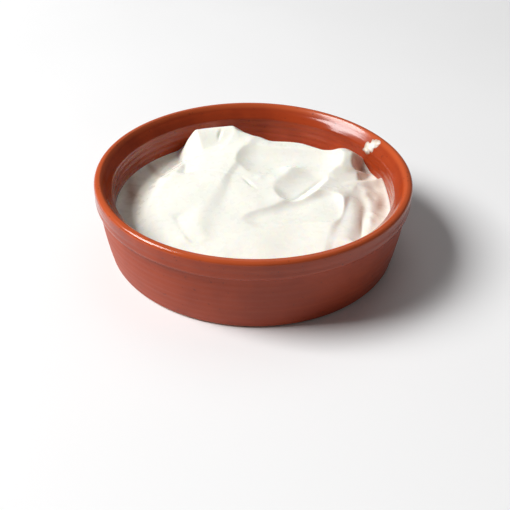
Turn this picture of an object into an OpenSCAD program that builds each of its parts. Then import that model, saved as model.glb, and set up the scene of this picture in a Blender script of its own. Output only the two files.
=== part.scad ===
// A small round terracotta dish with a banded rim, filled with thick yogurt that a spoon has
// left in folds and troughs. Millimetres, +Z up. The origin is the middle of the flat foot,
// and +Y points to the back of the dish, where the yogurt stands highest.

/* [Bowl] */
// Outer diameter over the rim band
rim_d = 140; // [120:1:160]
// Height from the foot to the top of the rim
bowl_h = 36; // [34:0.5:42]
// Outer diameter where the wall meets the foot
foot_d = 131; // [112:1:136]
// How far the rim band stands proud of the wall below it
band_step = 1.6; // [0.8:0.1:2.4]
// Height of the rim band, from its lower edge to the top of the rim
band_h = 9.6; // [7:0.2:12]
// Width of the rounded crown on the rim
crown_w = 4.8; // [4:0.1:6]
// Height of the rounded crown on the rim
crown_h = 2.4; // [1.4:0.1:3]
// Thickness of the floor
floor_t = 4.6; // [3.5:0.1:6]

/* [Yogurt] */
// Level of the yogurt where it meets the wall
level = 18.3; // [16:0.5:20]
// How far the middle stands above that level
dome_h = 5; // [0:0.2:6]
// How strongly the folds stand out, as a share of their real height
fold_share = 1; // [0:0.1:1]

/* [Hidden] */
$fn = 120;

// Bowl
rim_r = rim_d / 2;
foot_r = foot_d / 2;
wall_top_r = rim_r - band_step;
band_z = bowl_h - band_h;
foot_round = 2;
step_h = 1.8;          // height over which the wall swells out into the band
belly = 0.5;           // how far the wall bows outwards between foot and band
crown_power = 0.82;    // under 1 squares the crown's outer shoulder
lip_round = 0.35;      // how round the crown's top is on the inside
wall_lean = 1;         // how much the straight inner wall widens towards the rim
flare = 2.6;           // how far the inner wall flares out under the crown
flare_h = 4.2;         // over what height it does so
flare_power = 1.5;
inner_top_r = rim_r - crown_w;
inner_low_r = inner_top_r - flare - wall_lean;
inner_round = 7;       // radius between inner wall and floor
crown_z = bowl_h - crown_h;
inner_low_z = floor_t + inner_round;
arc_steps = 8;

// Yogurt
wall_gap = 0.05;       // keeps the two solids from sharing any volume
lean = [1.6, 0.6];     // how far the level rises towards +X and +Y at the wall
sectors = 108;
rings = 27;

// What the spoon did, in order: it laid yogurt over what was there, or cut in under it. Each
// mark runs from one point to another: [over or under, kind, from, to, height at each end,
// blend, shape]. Blend is how softly it runs into what is there.
//   stroke: [slope on the left, on the right, before the start, past the end], bow, round,
//           where round is how blunt the crest or the floor is
//   scoop:  [width on the left, on the right], [run before the start, past the end], rise,
//           where the shape is a parabola that has risen or fallen by rise at those distances
over = 1;
under = -1;
stroke = "stroke";
scoop = "scoop";
marks = [
    // The main mass and the back ridge, with the hollows along the wall left of and behind them.
    [over, stroke, [0, 43], [-13, 12], [31.2, 26.4], 0.8, [0.45, 0.15, 0.9, 0.15], 0, 1.4],
    [over, stroke, [5, 39], [47, 28], [29.2, 30.4], 0.4, [1.2, 0.145, 0.1, 1.4], 3, 1.4],
    [under, stroke, [-32, 46], [-50, -28], [16.8, 18.2], 1, [0.7, 0.1, 0.5, 0.3], -9.5, 2],
    [under, stroke, [-2, 61], [38, 50], [12.5, 12.5], 0.8, [0.1, 0.95, 1.2, 1], 4, 2],
    // The facet on the left slope.
    [under, stroke, [-32, 37], [-33, 18], [24.8, 23], 0.5, [0.34, 0.3, 0.6, 0.5], 1, 0.8],
    // The scoop that leaves the ridge its blunt end, and the end itself.
    [under, scoop, [38, 8], [52, 9], [24.4, 22.5], 0.5, [12, 20], [15, 12], 4],
    [over, scoop, [42, 28], [44, 26], [31.2, 31], 0.5, [6, 6], [5, 5], 2],
    // The peak.
    [over, stroke, [-25, 46], [-9, 48], [31.3, 32.8], 0.8, [1.3, 0.5, 1.15, 0.9], 0.5, 1.4],
    [over, stroke, [-8, 46], [7, 39], [31.8, 29.4], 0.8, [1.1, 0.35, 1, 1], -0.5, 1.2],
    // The hollow between the crest and the ridge.
    [under, scoop, [3, 21], [30, 17], [25.2, 25.4], 0.3, [13, 16], [13, 12], 3.6],
    // The tongue that folds over in the middle, and the scoop out of its side.
    [over, scoop, [14, -3], [21, 15], [25, 27.4], 0.9, [9, 14], [7, 5], 2],
    [under, scoop, [20, -2], [30, 11], [22.7, 24], 0.5, [12, 5.5], [8, 7], 2.6],
    // The trough in front of it.
    [under, scoop, [3, -18], [32, -7], [21.6, 21.5], 0.3, [6, 17], [13, 7], 2.6],
    // The lobes on the right.
    [over, stroke, [45, 3], [42, -34], [23.8, 22.4], 0.8, [0.45, 0.08, 0.3, 0.4], 2.5, 2.2],
    [over, stroke, [42, 9], [60, 15], [24, 23], 0.5, [0.9, 0.35, 0.8, 0.8], 1, 0.8],
    [over, stroke, [53, 5], [52, -7], [22.8, 22], 1, [0.35, 0.35, 0.6, 0.3], -2, 1.4],
    [under, stroke, [52, 26], [60, 22], [20, 20], 0.8, [0.5, 0.9, 2.5, 0.5], 1, 1.5],
    [under, stroke, [50, -1], [45, -32], [21.4, 20.8], 0.9, [0.45, 0.5, 0.6, 0.6], 2, 1.4],
    [under, stroke, [57, 10], [56, -10], [20.8, 20.4], 0.9, [0.35, 0.4, 0.6, 0.6], 2, 1.2],
    // The tip of a stroke at the front.
    [over, stroke, [-24, -14], [-24, -32], [22.5, 21.7], 0.5, [0.15, 0.35, 0.3, 0.6], 0.5, 2.4],
    [under, stroke, [-33, -18], [-25, -35], [21, 20.2], 0.5, [0.25, 0.3, 0.4, 0.4], -1, 0.8]
];

// Points on an arc about c, from angle a0 to angle a1.
function arc(c, r, a0, a1) =
    [for (i = [0:arc_steps]) let (a = a0 + (a1 - a0) * i / arc_steps) c + r * [cos(a), sin(a)]];

// The cavity's radius at height z: a sloping wall that flares under the crown, and an arc
// into the floor below.
function cavity_r(z) =
    z >= inner_low_z
        ? inner_low_r + wall_lean * (z - inner_low_z) / (crown_z - inner_low_z)
            + flare * pow(max(0, (z - crown_z) / flare_h + 1), flare_power)
        : inner_low_r - inner_round + sqrt(max(0, pow(inner_round, 2) - pow(inner_low_z - z, 2)));

// Outer wall: straight from foot to band, plus a parabola for its belly.
function wall_curve() =
    [for (i = [1:arc_steps]) let (t = i / arc_steps)
        [foot_r + (wall_top_r - foot_r) * t + 4 * belly * t * (1 - t),
         foot_round + (band_z - foot_round) * t]];

// Half a cosine wave, from the wall out to the band.
function step_curve() =
    [for (i = [1:arc_steps]) let (t = i / arc_steps)
        [wall_top_r + band_step * (1 - cos(180 * t)) / 2, band_z + step_h * t]];

// A quarter superellipse, from the band up to the top of the crown.
function crown_curve() =
    [for (i = [0:arc_steps]) let (a = 90 * i / arc_steps)
        [rim_r - crown_w / 2 * (1 - pow(cos(a), crown_power)),
         crown_z + crown_h * pow(sin(a), crown_power)]];

// A hyperbola, from the top of the crown down to the inner wall.
function lip_curve() =
    [for (i = [1:arc_steps])
        let (t = i / arc_steps,
             fall = (norm([t, lip_round]) - lip_round) / (norm([1, lip_round]) - lip_round))
        [rim_r - crown_w / 2 * (1 + t), crown_z + crown_h * (1 - fall)]];

// The flare under the crown, down to the straight inner wall.
function flare_curve() =
    [for (i = [1:arc_steps]) let (z = crown_z - flare_h * i / arc_steps) [cavity_r(z), z]];

function smooth_max(a, b, k) = (a + b + sqrt(pow(a - b, 2) + k * k)) / 2;

// How far the surface has fallen from a stroke's crest, or risen from its floor, at a distance
// to its side and past its ends.
function stroke_away(side, past, s) =
    let (slope = side > 0 ? s[6][0] : s[6][1],
         fall = past > 0 ? s[6][3] : s[6][2],
         blunt = s[8] * (s[6][0] + s[6][1]) / 2)
    norm([slope * side, fall * past, blunt]) - blunt;

// The same for a scoop.
function scoop_away(side, past, s) =
    let (width = side > 0 ? s[6][0] : s[6][1],
         run = past > 0 ? s[7][1] : s[7][0])
    s[8] * (pow(side / width, 2) + pow(past / run, 2));

// The height of a mark over (x, y).
function mark_z(x, y, s) =
    let (chord = s[3] - s[2],
         len = norm(chord),
         dir = chord / len,
         from_start = [x, y] - s[2],
         u = from_start * dir,
         t = min(1, max(0, u / len)),
         past = u - t * len,
         v = from_start * [-dir[1], dir[0]],
         gone = s[1] == stroke
             ? stroke_away(v - 4 * s[7] * t * (1 - t), past, s)
             : scoop_away(v, past, s))
    s[4][0] + (s[4][1] - s[4][0]) * t - s[0] * gone;

function rest_level(x, y) =
    level + dome_h * (1 - (x * x + y * y) / pow(inner_low_r, 2))
    + (lean * [x, y]) / inner_low_r;

// Makes every mark in turn on what is there.
function with_marks(x, y, z, i = 0) =
    i == len(marks) ? z
    : let (way = marks[i][0])
      with_marks(x, y, way * smooth_max(way * z, way * mark_z(x, y, marks[i]), marks[i][5]), i + 1);

function surface_z(x, y) =
    let (flat = rest_level(x, y))
    flat + fold_share * (with_marks(x, y, flat) - flat);

module bowl() {
    color([0.66, 0.26, 0.15])
        rotate_extrude()
            polygon(concat(
                [[0, 0]],
                arc([foot_r - foot_round, foot_round], foot_round, -90, 0),
                wall_curve(),
                step_curve(),
                crown_curve(),
                lip_curve(),
                flare_curve(),
                arc([inner_low_r - inner_round, inner_low_z], inner_round, 0, -90),
                [[0, floor_t]]));
}

// One solid: the folded top, the side that follows the dish, and the flat bottom.
module yogurt() {
    fit_r = cavity_r(level) - wall_gap;
    fillet = [for (i = [0:5]) floor_t + wall_gap + (inner_round - wall_gap) * (1 - sin(18 * i))];
    edge_z = [for (i = [0:sectors - 1]) let (a = 360 * i / sectors)
        surface_z(fit_r * cos(a), fit_r * sin(a))];
    top = [for (j = [1:rings], i = [0:sectors - 1])
        let (a = 360 * i / sectors,
             r = (cavity_r(edge_z[i]) - wall_gap) * j / rings,
             x = r * cos(a),
             y = r * sin(a))
        [x, y, j == rings ? edge_z[i] : surface_z(x, y)]];
    side = [for (z = fillet, i = [0:sectors - 1])
        let (a = 360 * i / sectors, r = cavity_r(z) - wall_gap)
        [r * cos(a), r * sin(a), z]];
    centre = [[0, 0, surface_z(0, 0)], [0, 0, fillet[len(fillet) - 1]]];
    bands = rings + len(fillet);
    hub = bands * sectors;
    quads = [for (j = [0:bands - 2], i = [0:sectors - 1], half = [0, 1])
        let (n = (i + 1) % sectors, a = j * sectors, b = a + sectors)
        half == 0 ? [a + i, a + n, b + n] : [a + i, b + n, b + i]];
    lids = [for (i = [0:sectors - 1], top_side = [0, 1])
        let (n = (i + 1) % sectors, b = (bands - 1) * sectors)
        top_side == 0 ? [hub, n, i] : [hub + 1, b + i, b + n]];
    color([0.95, 0.94, 0.88])
        polyhedron(concat(top, side, centre), concat(quads, lids));
}

bowl();
yogurt();
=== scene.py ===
"""A small round terracotta dish of thick spooned yogurt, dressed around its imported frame.

The dish stands on its foot at the origin with +Z up, and the yogurt stands highest towards +Y.
Sizes in the classes are millimetres, the unit a potter measures in, and become metres where a
mesh is made. Three pieces ride on the one body: the glazed dish, the yogurt in it, and a smear
that the spoon left on the wall.
"""

import logging
import math
from dataclasses import dataclass, field
from enum import Enum

import bpy
import numpy as np
from mathutils import Matrix, Vector


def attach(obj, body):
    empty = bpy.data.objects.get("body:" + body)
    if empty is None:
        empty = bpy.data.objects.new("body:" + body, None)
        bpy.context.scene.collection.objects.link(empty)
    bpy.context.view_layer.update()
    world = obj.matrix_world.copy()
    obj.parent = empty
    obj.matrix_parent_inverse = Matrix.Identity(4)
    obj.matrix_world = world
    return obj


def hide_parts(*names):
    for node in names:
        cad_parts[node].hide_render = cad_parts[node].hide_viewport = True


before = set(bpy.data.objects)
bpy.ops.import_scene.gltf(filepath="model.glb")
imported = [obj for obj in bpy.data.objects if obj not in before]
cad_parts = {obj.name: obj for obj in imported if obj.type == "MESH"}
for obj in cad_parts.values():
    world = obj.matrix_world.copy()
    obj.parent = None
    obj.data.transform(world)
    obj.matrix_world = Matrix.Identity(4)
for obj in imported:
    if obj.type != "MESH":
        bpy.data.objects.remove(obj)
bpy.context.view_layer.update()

Pair = tuple[float, float]
Triple = tuple[float, float, float]
Spot = Pair
Colour = Triple

MM = 0.001
BODY = "root"
NOISE_RANGE: Pair = (0.3, 0.7)

log = logging.getLogger("dish")


# ---------------------------------------------------------------------------------------------
# Helpers for shapes and meshes
# ---------------------------------------------------------------------------------------------

def smooth_max(a: np.ndarray, b: np.ndarray, blend: float) -> np.ndarray:
    """Takes the larger of two heights, rounded where they meet.

    Formula: half the sum, plus half the root of the squared difference and the squared blend.

    Args:
        a: First height.
        b: Second height.
        blend: How wide the rounding is, in the heights' unit.

    Returns:
        The blended height.
    """
    return (a + b + np.sqrt((a - b) ** 2 + blend * blend)) / 2


def ease(t: np.ndarray) -> np.ndarray:
    """Clips to 0..1 and smooths both ends: three times the square less twice the cube."""
    t = np.clip(t, 0.0, 1.0)
    return t * t * (3 - 2 * t)


@dataclass(frozen=True)
class Unevenness:
    """A seeded field of soft bumps, the sum of plane waves in random directions."""

    wavelength: float
    height: float
    seed: int
    waves: int = 14
    length_range: Pair = (0.75, 1.5)

    def at(self, *coordinates: np.ndarray) -> np.ndarray:
        """Samples the field.

        Formula: each wave is a sine of the position along its own direction, with its own
        length near the nominal one and its own phase, and the sum is scaled to the height.

        Args:
            coordinates: Two or three arrays of the same shape, in millimetres.

        Returns:
            The offsets in millimetres.
        """
        draw = np.random.default_rng(self.seed)
        total = np.zeros_like(coordinates[0], dtype=float)
        for _ in range(self.waves):
            direction = draw.normal(size=len(coordinates))
            direction /= np.linalg.norm(direction)
            length = self.wavelength * draw.uniform(*self.length_range)
            phase = draw.uniform(0, 2 * math.pi)
            place = sum(d * c for d, c in zip(direction, coordinates))
            total += np.sin(2 * math.pi * place / length + phase)
        return self.height * total / math.sqrt(self.waves / 2)


@dataclass(frozen=True)
class Wave:
    """A slow wave round a circle, with a whole number of crests."""

    crests: int
    height: float
    phase: float = 0.0

    def at(self, turn: np.ndarray) -> np.ndarray:
        """Gives the wave's height at each angle: a sine of the crests times the angle plus a phase."""
        return self.height * np.sin(self.crests * turn + self.phase)


def shares(count: int) -> np.ndarray:
    """Lists evenly spaced shares from 0 to 1, as a column."""
    return np.linspace(0, 1, count)[:, None]


def full_turn(sectors: int) -> np.ndarray:
    """Lists the angles of a circle's sectors, as a row."""
    return np.linspace(0, 2 * math.pi, sectors, endpoint=False)[None, :]


def turned(radius: np.ndarray, angle: np.ndarray, z: np.ndarray | float) -> np.ndarray:
    """Makes rows of X, Y and Z: radius times the angle's cosine, radius times its sine, height."""
    axes = np.broadcast_arrays(radius * np.cos(angle), radius * np.sin(angle), z)
    return np.stack(axes, axis=-1).reshape(-1, 3)


def grid_quads(rows: int, columns: int, closed: bool = False) -> np.ndarray:
    """Lists the quads of a grid whose points are stored row by row.

    Args:
        rows: Number of rows of points.
        columns: Number of points in a row.
        closed: True if the last column joins the first.

    Returns:
        An array of four point indices for each quad.
    """
    row, column = np.meshgrid(np.arange(rows - 1), np.arange(columns if closed else columns - 1),
                              indexing="ij")
    here = row * columns + column
    beside = row * columns + (column + 1) % columns
    return np.stack([here, beside, beside + columns, here + columns], axis=-1).reshape(-1, 4)


def fan(ring: np.ndarray, hub: int) -> np.ndarray:
    """Lists the triangles from each edge of a closed ring to a hub point."""
    return np.stack([ring, np.roll(ring, -1), np.full_like(ring, hub)], axis=-1)


def add_mesh(name: str, points: np.ndarray, quads: np.ndarray,
             triangles: np.ndarray) -> bpy.types.Object:
    """Puts arrays into a smooth-shaded mesh object at the origin.

    Args:
        name: Name of the object and its mesh.
        points: One row for each point, in millimetres.
        quads: Four point indices a row.
        triangles: Three point indices a row.

    Returns:
        The new object, linked to the scene.
    """
    mesh = bpy.data.meshes.new(name)
    corners = np.concatenate([quads.ravel(), triangles.ravel()]).astype(np.int32)
    sizes = np.concatenate([np.full(len(quads), 4), np.full(len(triangles), 3)]).astype(np.int32)
    starts = np.concatenate([[0], np.cumsum(sizes)[:-1]]).astype(np.int32)
    mesh.vertices.add(len(points))
    mesh.vertices.foreach_set("co", (points * MM).astype(np.float32).ravel())
    mesh.loops.add(len(corners))
    mesh.loops.foreach_set("vertex_index", corners)
    mesh.polygons.add(len(sizes))
    mesh.polygons.foreach_set("loop_start", starts)
    mesh.polygons.foreach_set("use_smooth", np.ones(len(sizes), dtype=bool))
    mesh.update(calc_edges=True)
    mesh.validate()
    piece = bpy.data.objects.new(name, mesh)
    bpy.context.scene.collection.objects.link(piece)
    return piece


def add_attribute(piece: bpy.types.Object, name: str, values: np.ndarray) -> None:
    """Stores one number for each point of a piece's mesh under a name."""
    attribute = piece.data.attributes.new(name, "FLOAT", "POINT")
    attribute.data.foreach_set("value", values.astype(np.float32).ravel())


def dress(piece: bpy.types.Object, material: bpy.types.Material) -> None:
    """Gives a piece its material and slot, and lets it ride on the body.

    Args:
        piece: The piece to dress.
        material: The finish that it shows.
    """
    piece.data.materials.append(material)
    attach(piece, BODY)


# ---------------------------------------------------------------------------------------------
# Finishes, whose heights and depths are metres
# ---------------------------------------------------------------------------------------------

class Recipe:
    """A node tree being written: a Principled shader and the nodes that feed it."""

    def __init__(self, name: str) -> None:
        """Starts an empty material with its output and shader.

        Args:
            name: The material's name.
        """
        self.material = bpy.data.materials.new(name)
        self.material.use_nodes = True
        self.nodes = self.material.node_tree.nodes
        self.links = self.material.node_tree.links
        self.shader = self.nodes["Principled BSDF"]
        self.place = self.nodes.new("ShaderNodeTexCoord").outputs["Object"]

    def set(self, **values: float | Colour) -> None:
        """Sets the shader's own sockets.

        Args:
            values: A number or colour for each socket, an underscore standing for a space.
        """
        for key, value in values.items():
            socket = self.shader.inputs[key.replace("_", " ")]
            socket.default_value = (*value, 1.0) if socket.type == "RGBA" else value

    def noise(self, waves: Triple, detail: float = 3.0, roughness: float = 0.55) -> bpy.types.NodeSocket:
        """Adds fractal noise on object coordinates.

        Args:
            waves: Waves to the metre along each axis.
            detail: Number of octaves.
            roughness: Share that each finer octave keeps.

        Returns:
            The noise value's socket, mostly within NOISE_RANGE.
        """
        mapping = self.nodes.new("ShaderNodeMapping")
        mapping.inputs["Scale"].default_value = waves
        self.links.new(self.place, mapping.inputs["Vector"])
        noise = self.nodes.new("ShaderNodeTexNoise")
        noise.inputs["Scale"].default_value = 1.0
        noise.inputs["Detail"].default_value = detail
        noise.inputs["Roughness"].default_value = roughness
        self.links.new(mapping.outputs["Vector"], noise.inputs["Vector"])
        return noise.outputs["Fac"]

    def spread(self, value: bpy.types.NodeSocket, given: Pair = NOISE_RANGE,
               wanted: Pair = (0.0, 1.0)) -> bpy.types.NodeSocket:
        """Maps a range of a value smoothly to another range, clipped at both ends.

        Args:
            value: The value to map.
            given: The two ends of the value's range.
            wanted: What those two ends become.

        Returns:
            The mapped value's socket.
        """
        node = self.nodes.new("ShaderNodeMapRange")
        node.interpolation_type = "SMOOTHSTEP"
        for key, number in zip(("From Min", "From Max", "To Min", "To Max"), (*given, *wanted)):
            node.inputs[key].default_value = number
        self.links.new(value, node.inputs["Value"])
        return node.outputs["Result"]

    def mix(self, share: bpy.types.NodeSocket, first: bpy.types.NodeSocket | Colour,
            second: bpy.types.NodeSocket | Colour) -> bpy.types.NodeSocket:
        """Mixes two colours.

        Args:
            share: How much of the second colour shows.
            first: Colour at a share of 0.
            second: Colour at a share of 1.

        Returns:
            The mixed colour's socket.
        """
        node = self.nodes.new("ShaderNodeMix")
        node.data_type = "RGBA"
        self.links.new(share, node.inputs[0])
        for socket, colour in ((node.inputs[6], first), (node.inputs[7], second)):
            if isinstance(colour, tuple):
                socket.default_value = (*colour, 1.0)
            else:
                self.links.new(colour, socket)
        return node.outputs[2]

    def add(self, first: bpy.types.NodeSocket, second: bpy.types.NodeSocket,
            weight: float) -> bpy.types.NodeSocket:
        """Adds a weighted value to another: first plus second times weight.

        Args:
            first: The value that counts in full.
            second: The value that is weighted.
            weight: What the second value is multiplied by.

        Returns:
            The sum's socket.
        """
        node = self.nodes.new("ShaderNodeMath")
        node.operation = "MULTIPLY_ADD"
        self.links.new(second, node.inputs[0])
        node.inputs[1].default_value = weight
        self.links.new(first, node.inputs[2])
        return node.outputs[0]

    def height(self) -> bpy.types.NodeSocket:
        """Gives the height above the foot.

        Returns:
            The socket of the height in metres.
        """
        split = self.nodes.new("ShaderNodeSeparateXYZ")
        self.links.new(self.place, split.inputs[0])
        return split.outputs["Z"]

    def attribute(self, name: str) -> bpy.types.NodeSocket:
        """Gives a number that the mesh stores at its points.

        Args:
            name: The name that the number is stored under.

        Returns:
            The number's socket.
        """
        node = self.nodes.new("ShaderNodeAttribute")
        node.attribute_name = name
        return node.outputs["Fac"]

    def bump(self, relief: bpy.types.NodeSocket, depth: float) -> None:
        """Feeds a relief to the shader's normal.

        Args:
            relief: The relief, where 1 stands for the full depth.
            depth: Full depth in metres.
        """
        node = self.nodes.new("ShaderNodeBump")
        node.inputs["Strength"].default_value = 1.0
        node.inputs["Distance"].default_value = depth
        self.links.new(relief, node.inputs["Height"])
        self.links.new(node.outputs["Normal"], self.shader.inputs["Normal"])

    def feed(self, value: bpy.types.NodeSocket, key: str) -> None:
        """Links a value to one of the shader's sockets."""
        self.links.new(value, self.shader.inputs[key])


@dataclass(frozen=True)
class GlazedTerracotta:
    """Brick-red clay under a clear satin glaze, with the wheel's rings and fine specks in it."""

    slot: str = "glazed_terracotta"
    clay: Colour = (0.375, 0.048, 0.011)
    deep_clay: Colour = (0.305, 0.037, 0.009)
    pale_clay: Colour = (0.440, 0.076, 0.022)
    bare_clay: Colour = (0.420, 0.160, 0.080)
    # Painted highlight: a lighter clay for the rim's top, where the lamps fall on it.
    lit_rim_colour: Colour = (0.640, 0.125, 0.036)
    speck: Colour = (0.110, 0.022, 0.012)
    ring_waves: Triple = (16, 16, 330)
    cloud_waves: Triple = (45, 45, 45)
    grain_waves: Triple = (1500, 1500, 1500)
    speck_waves: Triple = (620, 620, 620)
    deep_range: Pair = (0.38, 0.66)
    pale_range: Pair = (0.50, 0.74)
    pale_share: float = 0.30
    speck_range: Pair = (0.70, 0.78)
    speck_share: float = 0.6
    lit_rim_heights: Pair = (0.0338, 0.0354)
    lit_rim_share: float = 0.5
    bare_heights: Pair = (0.00036, 0.0012)
    gloss_range: Pair = (0.35, 0.70)
    roughness: Pair = (0.13, 0.22)
    matt_roughness: float = 0.32
    bare_roughness: float = 0.2
    grain_share: float = 0.16
    relief_depth: float = 0.000025
    specular: float = 0.40
    refraction: float = 1.5

    def make(self) -> bpy.types.Material:
        """Builds the material: clouds, rings and specks in the clay, a painted highlight of lighter clay on
        the rim's top, a bare foot.

        Returns:
            The material.
        """
        recipe = Recipe("glazed_terracotta")
        rings = recipe.noise(self.ring_waves)
        clouds = recipe.noise(self.cloud_waves, detail=4)
        grain = recipe.noise(self.grain_waves, detail=2)
        specks = recipe.noise(self.speck_waves, detail=1)
        colour = recipe.mix(recipe.spread(clouds, self.deep_range), self.clay, self.deep_clay)
        streaks = recipe.spread(rings, self.pale_range, (0.0, self.pale_share))
        colour = recipe.mix(streaks, colour, self.pale_clay)
        # Painted highlight: the clay turns lighter towards the rim's top, in place of the light that falls
        # there.
        painted_rim_light = recipe.spread(recipe.height(), self.lit_rim_heights, (0.0, self.lit_rim_share))
        colour = recipe.mix(painted_rim_light, colour, self.lit_rim_colour)
        spots = recipe.spread(specks, self.speck_range, (0.0, self.speck_share))
        colour = recipe.mix(spots, colour, self.speck)
        bare = recipe.spread(recipe.height(), self.bare_heights, (1.0, 0.0))
        recipe.feed(recipe.mix(bare, colour, self.bare_clay), "Base Color")
        gloss = recipe.spread(rings, self.gloss_range, self.roughness)
        gloss = recipe.add(gloss, recipe.attribute("matt"), self.matt_roughness)
        recipe.feed(recipe.add(gloss, bare, self.bare_roughness), "Roughness")
        relief = recipe.add(recipe.spread(rings), recipe.spread(grain), self.grain_share)
        recipe.bump(relief, self.relief_depth)
        recipe.set(Specular_IOR_Level=self.specular, IOR=self.refraction)
        return recipe.material


@dataclass(frozen=True)
class Curd:
    """Thick strained yogurt: cream-white, moist, and lit a little way below its skin."""

    slot: str = "yogurt"
    cream: Colour = (0.940, 0.928, 0.835)
    warm_cream: Colour = (0.935, 0.915, 0.800)
    clay_and_shade_tint: Colour = (0.330, 0.130, 0.070)
    cloud_waves: Triple = (70, 70, 70)
    grain_waves: Triple = (900, 900, 900)
    lump_waves: Triple = (260, 260, 260)
    warm_range: Pair = (0.40, 0.66)
    warm_share: float = 0.3
    gloss_range: Pair = (0.35, 0.68)
    roughness: Pair = (0.24, 0.40)
    grain_share: float = 0.15
    relief_depth: float = 0.000004
    scatter: float = 0.9
    scatter_depth: float = 0.0010
    scatter_radius: Colour = (1.0, 0.85, 0.65)
    specular: float = 0.5
    refraction: float = 1.4

    def make(self) -> bpy.types.Material:
        """Builds the material, with the clay colour mixed in where the mesh says so: where the film is
        thin, and as painted shade in the hollows by the wall.

        Returns:
            The material.
        """
        recipe = Recipe("yogurt")
        clouds = recipe.noise(self.cloud_waves)
        grain = recipe.noise(self.grain_waves)
        lumps = recipe.noise(self.lump_waves, detail=2)
        warmth = recipe.spread(clouds, self.warm_range, (0.0, self.warm_share))
        cream = recipe.mix(warmth, self.cream, self.warm_cream)
        # Painted shade: the clay tint darkens the yogurt in the hollows by the wall, besides showing
        # through thin film.
        recipe.feed(recipe.mix(recipe.attribute("film_and_shade"), cream, self.clay_and_shade_tint), "Base Color")
        recipe.feed(recipe.spread(lumps, self.gloss_range, self.roughness), "Roughness")
        relief = recipe.add(recipe.spread(lumps), recipe.spread(grain), self.grain_share)
        recipe.bump(relief, self.relief_depth)
        recipe.set(Subsurface_Weight=self.scatter, Subsurface_Scale=self.scatter_depth,
                   Specular_IOR_Level=self.specular, IOR=self.refraction)
        recipe.shader.inputs["Subsurface Radius"].default_value = self.scatter_radius
        return recipe.material


@dataclass(frozen=True)
class PaleFloor:
    """The studio's matt white table."""

    colour: Colour = (0.92, 0.92, 0.92)
    waves: Triple = (6, 6, 6)
    roughness: Pair = (0.50, 0.62)
    specular: float = 0.3

    def make(self) -> bpy.types.Material:
        """Builds the material, a little uneven in gloss as painted board is.

        Returns:
            The material.
        """
        recipe = Recipe("pale_floor")
        recipe.feed(recipe.spread(recipe.noise(self.waves), wanted=self.roughness), "Roughness")
        recipe.set(Base_Color=self.colour, Specular_IOR_Level=self.specular)
        return recipe.material


# ---------------------------------------------------------------------------------------------
# The dish
# ---------------------------------------------------------------------------------------------

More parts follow.
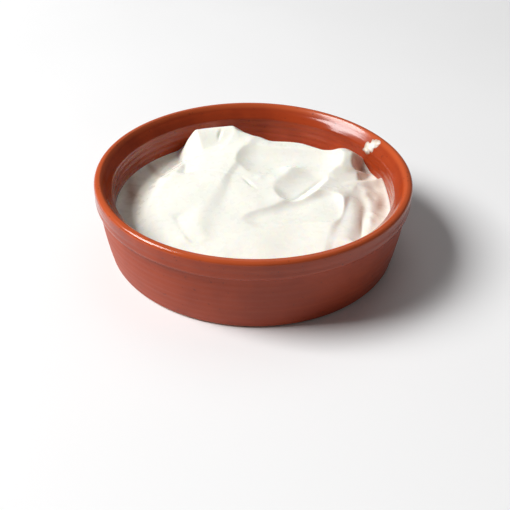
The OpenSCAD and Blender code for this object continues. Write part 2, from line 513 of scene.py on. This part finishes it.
@dataclass
class Dish:
    """The terracotta dish, turned from one outline. Its sizes repeat the frame's, in millimetres."""

    rim_r: float = 70.0
    height: float = 36.0
    foot_r: float = 65.5
    foot_round: float = 2.0
    band_step: float = 1.6
    band_h: float = 9.6
    step_h: float = 1.8
    belly: float = 0.5
    crown_w: float = 4.8
    crown_h: float = 2.4
    crown_power: float = 0.82
    lip_round: float = 0.35
    wall_lean: float = 1.0
    flare: float = 2.6
    flare_h: float = 4.2
    flare_power: float = 1.5
    inner_round: float = 7.0
    floor_t: float = 4.6
    true_foot: float = 1.5
    sway_over: float = 20.0
    sway: tuple[Wave, ...] = (Wave(2, 0.22, 0.6), Wave(3, 0.16, 2.1), Wave(5, 0.07))
    tilt: Wave = Wave(1, 0.14, 1.2)
    ring_pitch: float = 3.1
    ring_height: float = 0.07
    ring_sway: float = 0.8
    ring_fades: Pair = (4.0, 3.0)
    matt_fade: float = 2.0
    foot_points: int = 10
    wall_points: int = 26
    step_points: int = 14
    band_points: int = 10
    crown_points: int = 21
    inner_points: int = 44
    fillet_points: int = 12
    sectors: int = 320
    finish: GlazedTerracotta = GlazedTerracotta()

    def __post_init__(self) -> None:
        """Works out the sizes that follow from the others."""
        self.wall_top_r = self.rim_r - self.band_step
        self.band_z = self.height - self.band_h
        self.inner_top_r = self.rim_r - self.crown_w
        self.inner_low_r = self.inner_top_r - self.flare - self.wall_lean
        self.crown_z = self.height - self.crown_h
        self.inner_low_z = self.floor_t + self.inner_round
        self.lip_fall = math.hypot(1, self.lip_round) - self.lip_round

    def cavity_radius(self, z: np.ndarray) -> np.ndarray:
        """Gives the cavity's radius at a height.

        Formula: a straight sloping wall above the fillet, a flare under the rim that grows with
        a power of the height, and a quarter circle below the wall.

        Args:
            z: Heights above the foot.

        Returns:
            The radii.
        """
        rise = (z - self.inner_low_z) / (self.crown_z - self.inner_low_z)
        flare = np.clip((z - self.crown_z) / self.flare_h + 1, 0, None) ** self.flare_power
        wall = self.inner_low_r + self.wall_lean * rise + self.flare * flare
        drop = np.clip(self.inner_low_z - z, 0, self.inner_round)
        fillet = self.inner_low_r - self.inner_round + np.sqrt(self.inner_round ** 2 - drop ** 2)
        return np.where(z >= self.inner_low_z, wall, fillet)

    def inside_radius(self, z: np.ndarray) -> np.ndarray:
        """Gives the radius of the inside at a height, over the inner half of the crown too.

        Formula: above the cavity, the hyperbola of the crown's inner shoulder, solved for
        the radius.

        Args:
            z: Heights above the foot.

        Returns:
            The radii.
        """
        fall = 1 - np.clip((z - self.crown_z) / self.crown_h, 0, 1)
        reach = fall * self.lip_fall + self.lip_round
        share = np.sqrt(reach ** 2 - self.lip_round ** 2)
        crown = self.rim_r - self.crown_w / 2 * (1 + share)
        return np.where(z > self.crown_z, crown, self.cavity_radius(z))

    def outline(self) -> np.ndarray:
        """Draws the half section from the foot's edge, up the outside and down to the floor inside.

        Formula: a quarter circle at the foot, a line with a parabola's belly, half a cosine
        out to the band, a quarter superellipse up to the crown's top, a hyperbola down from it,
        the flared wall and the fillet.

        Returns:
            Rows of radius and height.
        """
        a = math.pi / 2 * (shares(self.foot_points) - 1)
        foot = np.hstack([self.foot_r - self.foot_round + self.foot_round * np.cos(a),
                          self.foot_round + self.foot_round * np.sin(a)])
        t = shares(self.wall_points)[1:]
        bulge = 4 * self.belly * t * (1 - t)
        wall = np.hstack([self.foot_r + (self.wall_top_r - self.foot_r) * t + bulge,
                          self.foot_round + (self.band_z - self.foot_round) * t])
        t = shares(self.step_points)[1:]
        step = np.hstack([self.wall_top_r + self.band_step * (1 - np.cos(math.pi * t)) / 2,
                          self.band_z + self.step_h * t])
        t = shares(self.band_points)[1:-1]
        step_z = self.band_z + self.step_h
        band = np.hstack([np.full_like(t, self.rim_r), step_z + (self.crown_z - step_z) * t])
        a = math.pi / 2 * shares(self.crown_points)
        crown = np.hstack([self.rim_r - self.crown_w / 2 * (1 - np.cos(a).clip(0) ** self.crown_power),
                           self.crown_z + self.crown_h * np.sin(a) ** self.crown_power])
        t = shares(self.crown_points)[1:]
        fall = (np.hypot(t, self.lip_round) - self.lip_round) / self.lip_fall
        lip = np.hstack([self.rim_r - self.crown_w / 2 * (1 + t), self.crown_z + self.crown_h * (1 - fall)])
        z = self.crown_z + (self.inner_low_z - self.crown_z) * shares(self.inner_points)[1:-1]
        inner = np.hstack([self.cavity_radius(z), z])
        a = -math.pi / 2 * shares(self.fillet_points)
        fillet = np.hstack([self.inner_low_r - self.inner_round + self.inner_round * np.cos(a),
                            self.inner_low_z + self.inner_round * np.sin(a)])
        return np.vstack([foot, wall, step, band, crown, lip, inner, fillet])

    def build(self) -> bpy.types.Object:
        """Turns the outline round the axis and gives it the hand's unevenness.

        Formula: each point's radius follows the outline, plus a few slow waves round the dish
        and the fine rings that the fingers leave up the wall. The waves and a slight tilt ease
        in above the foot, which is true. The glaze turns matt below the band.

        Returns:
            The dish, riding on the body in place of its frame node.
        """
        outline = self.outline()
        angle = full_turn(self.sectors)
        radius, z = outline[:, :1], outline[:, 1:]
        free = ease((z - self.true_foot) / self.sway_over)
        sway = free * sum(wave.at(angle) for wave in self.sway)
        rings = np.sin(2 * math.pi * z / self.ring_pitch + self.ring_sway * np.sin(angle))
        rings = self.ring_height * rings * ease((z - self.foot_round) / self.ring_fades[0])
        rings = rings * ease((self.crown_z - z) / self.ring_fades[1])
        points = turned(radius + sway + rings, angle, z + free * self.tilt.at(angle))
        under, inside = len(points), len(points) + 1
        points = np.vstack([points, [[0, 0, 0], [0, 0, self.floor_t]]])
        quads = grid_quads(len(outline), self.sectors, closed=True)
        first = np.arange(self.sectors)
        last = first + (len(outline) - 1) * self.sectors
        piece = add_mesh("dish", points, quads, np.vstack([fan(first[::-1], under), fan(last, inside)]))
        outside = (outline[:, 0] > self.inner_top_r) | (outline[:, 1] < self.foot_round)
        below_band = ease((self.band_z + self.step_h - outline[:, 1]) / self.matt_fade)
        matt = np.repeat(np.where(outside, below_band, 0), self.sectors)
        underside_matt, floor_matt = 1, 0
        add_attribute(piece, "matt", np.append(matt, [underside_matt, floor_matt]))
        dress(piece, self.finish.make())
        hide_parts("bowl")
        return piece


# ---------------------------------------------------------------------------------------------
# The yogurt
# ---------------------------------------------------------------------------------------------

class Pull(Enum):
    """What a stroke of the spoon does to the yogurt."""

    FOLD = 1
    TROUGH = -1


@dataclass(frozen=True)
class Mark:
    """What one move of the spoon leaves: a surface laid over the yogurt or drawn through it."""

    start: Spot
    end: Spot
    heights: Pair
    blend: float
    pull: Pull
    lean: Pair = field(default=(0.0, 0.0), kw_only=True)

    def along_and_across(self, x: np.ndarray, y: np.ndarray) -> tuple[np.ndarray, np.ndarray]:
        """Turns places into distances from the mark's start.

        Args:
            x: Places across the dish.
            y: Places from front to back.

        Returns:
            The distances along the mark's line and to its left.
        """
        run = np.subtract(self.end, self.start) / self.length()
        x, y = x - self.start[0], y - self.start[1]
        return x * run[0] + y * run[1], y * run[0] - x * run[1]

    def length(self) -> float:
        """Gives the distance from the mark's start to its end."""
        return math.dist(self.start, self.end)

    def away(self, t: np.ndarray, across: np.ndarray, past: np.ndarray) -> np.ndarray:
        """Gives how far the surface has left the line's height, which each kind of mark works out."""
        raise NotImplementedError

    def height(self, x: np.ndarray, y: np.ndarray) -> np.ndarray:
        """Gives the height of the mark's own surface.

        Formula: the line's height at the nearest point along it, less how far a fold has fallen
        away from it there. A trough is the same turned over.

        Args:
            x: Places across the dish.
            y: Places from front to back.

        Returns:
            The heights.
        """
        along, across = self.along_and_across(x, y)
        t = np.clip(along / self.length(), 0, 1)
        away = self.away(t, across, along - t * self.length())
        return self.heights[0] + (self.heights[1] - self.heights[0]) * t - self.pull.value * away

    def drawn_over(self, x: np.ndarray, y: np.ndarray, z: np.ndarray) -> np.ndarray:
        """Lays the mark over a surface, or draws it through the surface.

        Args:
            x: Places across the dish.
            y: Places from front to back.
            z: Heights of the surface so far.

        Returns:
            The new heights.
        """
        sign = self.pull.value
        return sign * smooth_max(sign * z, sign * self.height(x, y), self.blend)


@dataclass(frozen=True)
class Stroke(Mark):
    """A fold or trough along a bowed line, with slopes to its left and right and past its two ends."""

    slopes: tuple[float, float, float, float] = (0.5, 0.5, 0.5, 0.5)
    bow: float = 0.0
    bluntness: float = 1.0

    def away(self, t: np.ndarray, across: np.ndarray, past: np.ndarray) -> np.ndarray:
        """Gives how far the stroke falls away from its line.

        Formula: the root of three squares: the drop to the side of the line's parabolic bow,
        the drop past its ends, and a bluntness that rounds the crest and is then taken off.

        Args:
            t: Share of the line's length at the nearest point along it.
            across: Distance to the left of the straight line.
            past: Distance past the line's end, or less than zero before its start.

        Returns:
            The falls.
        """
        side = across - 4 * self.bow * t * (1 - t)
        slope = np.where(side > 0, self.slopes[0], self.slopes[1])
        end_slope = np.where(past > 0, self.slopes[3], self.slopes[2])
        blunt = self.bluntness * (self.slopes[0] + self.slopes[1]) / 2
        return np.sqrt((slope * side) ** 2 + (end_slope * past) ** 2 + blunt ** 2) - blunt


@dataclass(frozen=True)
class Scoop(Mark):
    """The print of the spoon's bowl, or the rounded lump that it dropped."""

    widths: Pair = (8.0, 8.0)
    runs: Pair = (8.0, 8.0)
    rise: float = 3.0

    def away(self, t: np.ndarray, across: np.ndarray, past: np.ndarray) -> np.ndarray:
        """Gives how far the scoop curves away from its line.

        Formula: the rise times the sum of two squares, of the distance to the side in widths
        and of the distance past the line's ends in runs. Left and right, start and end each
        have their own.

        Args:
            t: Share of the line's length at the nearest point along it, which has no effect.
            across: Distance to the left of the line.
            past: Distance past the line's end, or less than zero before its start.

        Returns:
            The distances up or down.
        """
        side = across / np.where(across > 0, self.widths[0], self.widths[1])
        end = past / np.where(past > 0, self.runs[1], self.runs[0])
        return self.rise * (side ** 2 + end ** 2)


@dataclass(frozen=True)
class Dab:
    """A small lump, or a pit if its height is negative."""

    spot: Spot
    radii: Pair
    turn: float
    height: float

    def offset(self, x: np.ndarray, y: np.ndarray) -> np.ndarray:
        """Gives the lump's height: a bell of the distance from its middle, in its own ellipse.

        Args:
            x: Places across the dish.
            y: Places from front to back.

        Returns:
            The heights.
        """
        c, s = math.cos(math.radians(self.turn)), math.sin(math.radians(self.turn))
        u = ((x - self.spot[0]) * c + (y - self.spot[1]) * s) / self.radii[0]
        v = (-(x - self.spot[0]) * s + (y - self.spot[1]) * c) / self.radii[1]
        return self.height * np.exp(-(u * u + v * v))


FOLD, TROUGH = Pull.FOLD, Pull.TROUGH
MARKS = (
    # The main mass and the back ridge, with the hollows along the wall left of and behind them.
    Stroke((0, 43), (-13, 12), (31.2, 26.4), 0.8, FOLD, (0.45, 0.15, 0.9, 0.15), 0.0, 1.4),
    Stroke((5, 39), (47, 28), (29.2, 30.4), 0.4, FOLD, (1.2, 0.145, 0.10, 1.4), 3.0, 1.4),
    Stroke((-32, 46), (-50, -28), (16.8, 18.2), 1.0, TROUGH, (0.7, 0.1, 0.5, 0.3), -9.5, 2.0),
    Stroke((-2, 61), (38, 50), (12.5, 12.5), 0.8, TROUGH, (0.1, 0.95, 1.2, 1.0), 4.0, 2.0),
    # The facet on the left slope.
    Stroke((-32, 37), (-33, 18), (24.8, 23.0), 0.5, TROUGH, (0.34, 0.30, 0.6, 0.5), 1.0, 0.8),
    # The scoop that leaves the ridge its blunt end, and the end itself.
    Scoop((38, 8), (52, 9), (24.4, 22.5), 0.5, TROUGH, (12, 20), (15, 12), 4.0),
    Scoop((42, 28), (44, 26), (31.2, 31.0), 0.5, FOLD, (6, 6), (5, 5), 2.0),
    # The peak.
    Stroke((-25, 46), (-9, 48), (31.3, 32.8), 0.8, FOLD, (1.3, 0.50, 1.15, 0.9), 0.5, 1.4,
           lean=(-0.30, -0.05)),
    Stroke((-8, 46), (7, 39), (31.8, 29.4), 0.8, FOLD, (1.1, 0.35, 1.0, 1.0), -0.5, 1.2),
    # The hollow between the crest and the ridge.
    Scoop((3, 21), (30, 17), (25.2, 25.4), 0.3, TROUGH, (13, 16), (13, 12), 3.6),
    # The tongue that folds over in the middle, and the scoop out of its side.
    Scoop((14, -3), (21, 15), (25.0, 27.4), 0.9, FOLD, (9, 14), (7, 5), 2.0),
    Scoop((20, -2), (30, 11), (22.7, 24.0), 0.5, TROUGH, (12, 5.5), (8, 7), 2.6),
    # The trough in front of it.
    Scoop((3, -18), (32, -7), (21.6, 21.5), 0.3, TROUGH, (6, 17), (13, 7), 2.6),
    # The lobes on the right.
    Stroke((45, 3), (42, -34), (23.8, 22.4), 0.8, FOLD, (0.45, 0.08, 0.3, 0.4), 2.5, 2.2),
    Stroke((42, 9), (60, 15), (24.0, 23.0), 0.5, FOLD, (0.9, 0.35, 0.8, 0.8), 1.0, 0.8),
    Stroke((53, 5), (52, -7), (22.8, 22.0), 1.0, FOLD, (0.35, 0.35, 0.6, 0.3), -2.0, 1.4),
    Stroke((52, 26), (60, 22), (20.0, 20.0), 0.8, TROUGH, (0.5, 0.9, 2.5, 0.5), 1.0, 1.5),
    Stroke((50, -1), (45, -32), (21.4, 20.8), 0.9, TROUGH, (0.45, 0.5, 0.6, 0.6), 2.0, 1.4),
    Stroke((57, 10), (56, -10), (20.8, 20.4), 0.9, TROUGH, (0.35, 0.4, 0.6, 0.6), 2.0, 1.2),
    # The tip of a stroke at the front.
    Stroke((-24, -14), (-24, -32), (22.5, 21.7), 0.5, FOLD, (0.15, 0.35, 0.3, 0.6), 0.5, 2.4),
    Stroke((-33, -18), (-25, -35), (21.0, 20.2), 0.5, TROUGH, (0.25, 0.30, 0.4, 0.4), -1.0, 0.8),
)
# Small lumps and pits.
DABS = (
    Dab((-2, 6), (3.4, 0.8), -52, -0.6),
    Dab((3, 10), (2.0, 1.4), 10, 0.4),
    Dab((-44, 15), (2.0, 3.6), 10, 0.8),
    Dab((-16, 43), (0.7, 3.0), -20, -0.8),
    Dab((-27, 45), (1.6, 1.2), 0, 0.7),
    Dab((53, -12), (2.4, 3.0), 0, 0.7),
    Dab((47.5, -21), (0.7, 7.0), -8, -0.5),
    Dab((25.5, 4), (9.5, 0.8), 50, -0.7),
    Dab((55, 2), (2.5, 3.5), 15, -0.7),
    Dab((51, -17), (2.2, 2.8), 0, 0.8),
    Dab((-33, 27), (1.1, 7.0), 0, -0.5),
)
# Thin films that the clay shows through, and painted shade with the clay's warm bounce light in the hollows
# and clefts by the wall, the height being the share of clay colour that is mixed in.
FILM_AND_SHADE_SPOTS = (
    Dab((-57, 8), (3.2, 16), 12, 0.62),
    Dab((-50, 30), (2.0, 9), 35, 0.45),
    Dab((58, -2), (2.6, 10), -8, 0.68),
    Dab((48, -13), (1.8, 11), -12, 0.45),
    Dab((54, 11), (2.5, 5.0), 10, 0.30),
    Dab((59, 14), (3.0, 5.0), 0, 0.45),
    Dab((53, 27), (5.0, 3.0), -25, 0.50),
)


@dataclass
class Yogurt:
    """The yogurt: a low dome that folds and troughs cross, filling the dish to its wall."""

    dish: Dish
    level: float = 18.3
    dome: float = 5.0
    lean: Pair = (1.6, 0.6)
    marks: tuple[Mark, ...] = MARKS
    dabs: tuple[Dab, ...] = DABS
    film_and_shade_spots: tuple[Dab, ...] = FILM_AND_SHADE_SPOTS
    swell: Unevenness = Unevenness(19.0, 0.12, 4)
    ripple: Unevenness = Unevenness(6.5, 0.015, 9)
    calm_edge: float = 0.12
    fit_rounds: int = 3
    wall_reach: float = 0.5
    floor_gap: float = 0.1
    film_rise: float = 1.0
    film_width: float = 1.6
    cells: int = 290
    skirt_rows: int = 5
    finish: Curd = Curd()

    def surface(self, x: np.ndarray, y: np.ndarray) -> tuple[np.ndarray, np.ndarray, np.ndarray]:
        """Works out the folded surface over each place.

        Formula: a dome falling with the squared radius and leaning to one side, then each
        fold by smooth maximum or trough by smooth minimum, then dabs and unevenness.
        A fold that leans carries what it lifts sideways, in proportion to the lift.

        Args:
            x: Places across the dish.
            y: Places from front to back.

        Returns:
            The heights, and the sideways drift along X and Y.
        """
        share = (x * x + y * y) / self.dish.inner_low_r ** 2
        z = self.level + self.dome * (1 - share)
        z = z + (self.lean[0] * x + self.lean[1] * y) / self.dish.inner_low_r
        drift_x, drift_y = np.zeros_like(z), np.zeros_like(z)
        for mark in self.marks:
            drawn = mark.drawn_over(x, y, z)
            lift = np.clip(drawn - z, 0, None)
            drift_x += mark.lean[0] * lift
            drift_y += mark.lean[1] * lift
            z = drawn
        for dab in self.dabs:
            z = z + dab.offset(x, y)
        inside = ease((1 - np.sqrt(share)) / self.calm_edge)
        z = z + inside * (self.swell.at(x, y) + self.ripple.at(x, y))
        return z, inside * drift_x, inside * drift_y

    def unit_disc(self) -> tuple[np.ndarray, np.ndarray]:
        """Lays a square grid over the unit disc with cells of much the same size.

        Formula: the larger of the two grid coordinates is the radius, and the smaller over
        the larger turns the angle through an eighth of a circle each way.

        Returns:
            Radius and angle of each grid point, the radius below zero on two of the four sides.
        """
        steps = np.linspace(-1, 1, self.cells + 1)
        a, b = np.meshgrid(steps, steps, indexing="ij")
        flat = np.abs(a) > np.abs(b)
        longer = np.where(flat, a, b)
        shorter = np.where(flat, b, a)
        ratio = np.divide(shorter, longer, out=np.zeros_like(a), where=longer != 0)
        angle = np.where(flat, math.pi / 4 * ratio, math.pi / 2 - math.pi / 4 * ratio)
        return longer, angle

    def build(self) -> bpy.types.Object:
        """Makes the closed mesh: the folded top, the side in the wall and the flat bottom.

        Formula: the unit disc is stretched to the wall at the yogurt's own height there, which
        a few rounds settle. A film rises at the wall by a falling exponential of the gap to it.

        Returns:
            The yogurt, riding on the body in place of its frame node.
        """
        radius, angle = self.unit_disc()
        cosine, sine = np.cos(angle), np.sin(angle)
        fit = self.dish.cavity_radius(np.full_like(radius, self.level))
        for _ in range(self.fit_rounds):
            edge_z, _, _ = self.surface(fit * cosine * np.sign(radius), fit * sine * np.sign(radius))
            fit = self.dish.cavity_radius(edge_z)
        reach = fit + self.wall_reach
        x, y = reach * radius * cosine, reach * radius * sine
        z, drift_x, drift_y = self.surface(x, y)
        gap = np.clip(fit - np.hypot(x, y), 0, None)
        z = z + self.film_rise * np.exp(-gap / self.film_width)
        top = np.stack([x + drift_x, y + drift_y, z], axis=-1).reshape(-1, 3)
        count = self.cells + 1
        index = np.arange(count * count).reshape(count, count)
        border = np.concatenate([index[:-1, 0], index[-1, :-1], index[:0:-1, -1], index[0, :0:-1]])
        rim = top[border]
        bottom_z = self.dish.floor_t + self.floor_gap
        down = shares(self.skirt_rows + 1)[1:]
        side_z = rim[None, :, 2] * (1 - down) + bottom_z * down
        side_r = self.dish.cavity_radius(side_z) + self.wall_reach * (1 - down)
        side = turned(side_r, np.arctan2(rim[:, 1], rim[:, 0]), side_z)
        points = np.vstack([top, side, [[0, 0, bottom_z]]])
        quads = grid_quads(count, count)[:, ::-1]
        rows = np.vstack([border, len(top) + np.arange(len(side)).reshape(self.skirt_rows, -1)])
        beside = np.roll(rows, -1, axis=1)
        skirt = np.stack([rows[:-1], rows[1:], beside[1:], beside[:-1]], axis=-1).reshape(-1, 4)
        bottom = fan(rows[-1][::-1], len(points) - 1)
        piece = add_mesh("yogurt_fill", points, np.vstack([quads, skirt]), bottom)
        # Painted shade: the clay share also darkens the hollows and clefts by the wall, besides marking
        # thin film.
        film_and_shade = sum(spot.offset(points[:, 0], points[:, 1]) for spot in self.film_and_shade_spots)
        add_attribute(piece, "film_and_shade", np.clip(film_and_shade, 0, 1))
        dress(piece, self.finish.make())
        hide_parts("yogurt")
        return piece


@dataclass
class WallSmear:
    """The smear that the spoon left on the inner wall: a lumpy patch, drawn out at its lower end."""

    dish: Dish
    bearing_deg: float = 28.6
    middle_z: float = 32.3
    reach: float = 4.0
    lobes: tuple[Wave, ...] = (Wave(2, 0.20, math.pi / 2 - 4.7), Wave(3, 0.12, 0.9), Wave(5, 0.13, 2.2),
                               Wave(9, 0.08))
    streak: float = 2.6
    streak_turn: float = 5.5
    streak_spread: float = 0.25
    thickness: float = 0.6
    fullness: float = 0.8
    sink: float = 0.3
    thin_middle: float = 0.10
    thin_edge: float = 0.95
    rings: int = 30
    sectors: int = 160
    lumps: Unevenness = Unevenness(2.6, 0.35, 21)

    def build(self, material: bpy.types.Material, slot: str) -> bpy.types.Object:
        """Makes the closed patch, its back sunk into the wall.

        Formula: the edge's distance from the middle is a few waves round the patch and a narrow
        bell for the streak. The front stands off the wall by the thickness times one less the
        squared share of that distance, made uneven, and sinks at the edge. The yogurt gets
        thinner with the squared share too.

        Args:
            material: The yogurt's own material.
            slot: The slot that the material belongs to; not used.

        Returns:
            The smear, riding on the body.
        """
        turn = full_turn(self.sectors)
        share = shares(self.rings + 1)[1:]
        edge = self.reach * (1 + sum(wave.at(turn) for wave in self.lobes))
        edge = edge + self.streak * np.exp(-((turn - self.streak_turn) / self.streak_spread) ** 2)
        along, up = share * edge * np.cos(turn), share * edge * np.sin(turn)
        body = self.thickness * (1 - share ** 2) * (self.fullness + self.lumps.at(along, up))
        front = body - self.sink * share ** 2
        back = -self.sink * (2 - share ** 2) + 0 * turn
        film_and_shade = self.thin_middle + (self.thin_edge - self.thin_middle) * share ** 2 + 0 * turn
        # The front's rings run outwards, the back's run inwards, and the two middles come last.
        along, up, off, film_and_shade = (
            np.append(np.vstack([outward, inward[-2::-1]]), middles) for outward, inward, middles in (
                (along, along, (0, 0)),
                (up, up, (0, 0)),
                (front, back, (self.thickness * self.fullness, -2 * self.sink)),
                (film_and_shade, film_and_shade, (self.thin_middle, self.thin_middle)),
            ))
        z = np.clip(self.middle_z + up, 0, self.dish.height - self.sink)
        angle = math.radians(self.bearing_deg) + along / self.dish.inner_top_r
        points = turned(self.dish.inside_radius(z) - off, angle, z)
        rows = 2 * self.rings - 1
        quads = grid_quads(rows, self.sectors, closed=True)
        first = np.arange(self.sectors)
        last = first + (rows - 1) * self.sectors
        hubs = np.vstack([fan(first[::-1], len(points) - 2), fan(last, len(points) - 1)])
        piece = add_mesh("wall_smear", points, quads, hubs)
        add_attribute(piece, "film_and_shade", film_and_shade)
        dress(piece, material)
        return piece


# ---------------------------------------------------------------------------------------------
# The studio
# ---------------------------------------------------------------------------------------------

@dataclass(frozen=True)
class SoftBox:
    """A square studio lamp, aimed at the dish."""

    name: str
    toward: Triple
    distance: float
    side: float
    watts: float
    colour: Colour = (1.0, 1.0, 1.0)

    def hang(self, target: Vector) -> None:
        """Hangs the lamp in its direction from a target and turns it to face it.

        Args:
            target: The point that the lamp faces, in metres.
        """
        light = bpy.data.lights.new(self.name, "AREA")
        light.shape = "SQUARE"
        light.size = self.side
        light.energy = self.watts
        light.color = self.colour
        lamp = bpy.data.objects.new(self.name, light)
        direction = Vector(self.toward).normalized()
        lamp.location = target + direction * self.distance
        lamp.rotation_euler = direction.to_track_quat("Z", "Y").to_euler()
        bpy.context.scene.collection.objects.link(lamp)


@dataclass
class Studio:
    """Pale floor, soft lamps, even sky and the camera, all in metres but for the lens."""

    camera_distance: float = 0.35
    camera_height_deg: float = 34.84
    look_down_deg: float = 36.37
    look_right_deg: float = 0.25
    roll_deg: float = 1.24
    lens: float = 52.22
    nearest_view: float = 0.01
    floor_rings: Triple = (0.15, 0.6, 2.5)
    floor_sectors: int = 64
    sky: float = 0.10
    lamp_target: Triple = (0.0, 0.0, 0.02)
    lamps: tuple[SoftBox, ...] = (
        SoftBox("key", (-0.72, -0.02, 0.72), 2.2, 1.0, 63.0),
        SoftBox("top", (0.1, 0.5, 0.9), 2.8, 1.8, 7.6),
    )

    def place_camera(self) -> None:
        """Places the camera on its arc in front of the dish and turns it.

        Formula: the view runs down by its pitch, swings by its yaw, and rolls about itself.
        """
        camera_data = bpy.data.cameras.new("camera")
        camera_data.lens = self.lens
        camera_data.clip_start = self.nearest_view
        camera = bpy.data.objects.new("camera", camera_data)
        rise = math.radians(self.camera_height_deg)
        turns = (self.look_down_deg, self.look_right_deg, self.roll_deg)
        pitch, yaw, roll = (math.radians(turn) for turn in turns)
        forward = Vector((0, math.cos(pitch), -math.sin(pitch)))
        up = Vector((0, math.sin(pitch), math.cos(pitch)))
        right = Vector((1, 0, 0))
        forward, right = (forward * math.cos(yaw) + right * math.sin(yaw),
                          right * math.cos(yaw) - forward * math.sin(yaw))
        right, up = (right * math.cos(roll) + up * math.sin(roll),
                     up * math.cos(roll) - right * math.sin(roll))
        place = Vector((0, -math.cos(rise), math.sin(rise))) * self.camera_distance
        facing = Matrix((right, up, -forward)).transposed().to_4x4()
        camera.matrix_world = Matrix.Translation(place) @ facing
        bpy.context.scene.collection.objects.link(camera)
        bpy.context.scene.camera = camera

    def lay_floor(self) -> None:
        """Lays the floor: a wide disc whose edge is out of sight."""
        rings = np.array(self.floor_rings)[:, None] / MM
        points = np.vstack([turned(rings, full_turn(self.floor_sectors), 0.0), [[0, 0, 0]]])
        quads = grid_quads(len(rings), self.floor_sectors, closed=True)[:, ::-1]
        floor = add_mesh("floor", points, quads, fan(np.arange(self.floor_sectors), len(points) - 1))
        floor.data.materials.append(PaleFloor().make())

    def light(self) -> None:
        """Sets the even sky and hangs the lamps."""
        world = bpy.data.worlds.new("studio")
        world.use_nodes = True
        background = world.node_tree.nodes["Background"]
        background.inputs["Color"].default_value = (1.0, 1.0, 1.0, 1.0)
        background.inputs["Strength"].default_value = self.sky
        bpy.context.scene.world = world
        bpy.context.scene.view_settings.view_transform = "Standard"
        for lamp in self.lamps:
            lamp.hang(Vector(self.lamp_target))


def main() -> None:
    """Builds the studio and each piece in order."""
    logging.basicConfig(level=logging.INFO, format="%(name)s: %(message)s")
    studio = Studio()
    studio.place_camera()
    studio.lay_floor()
    studio.light()
    dish = Dish()
    yogurt = Yogurt(dish)
    fill = yogurt.build()
    smear = WallSmear(dish).build(fill.active_material, yogurt.finish.slot)
    for piece in (dish.build(), fill, smear):
        log.info("%s: %d faces", piece.name, len(piece.data.polygons))


if __name__ == "__main__":
    main()
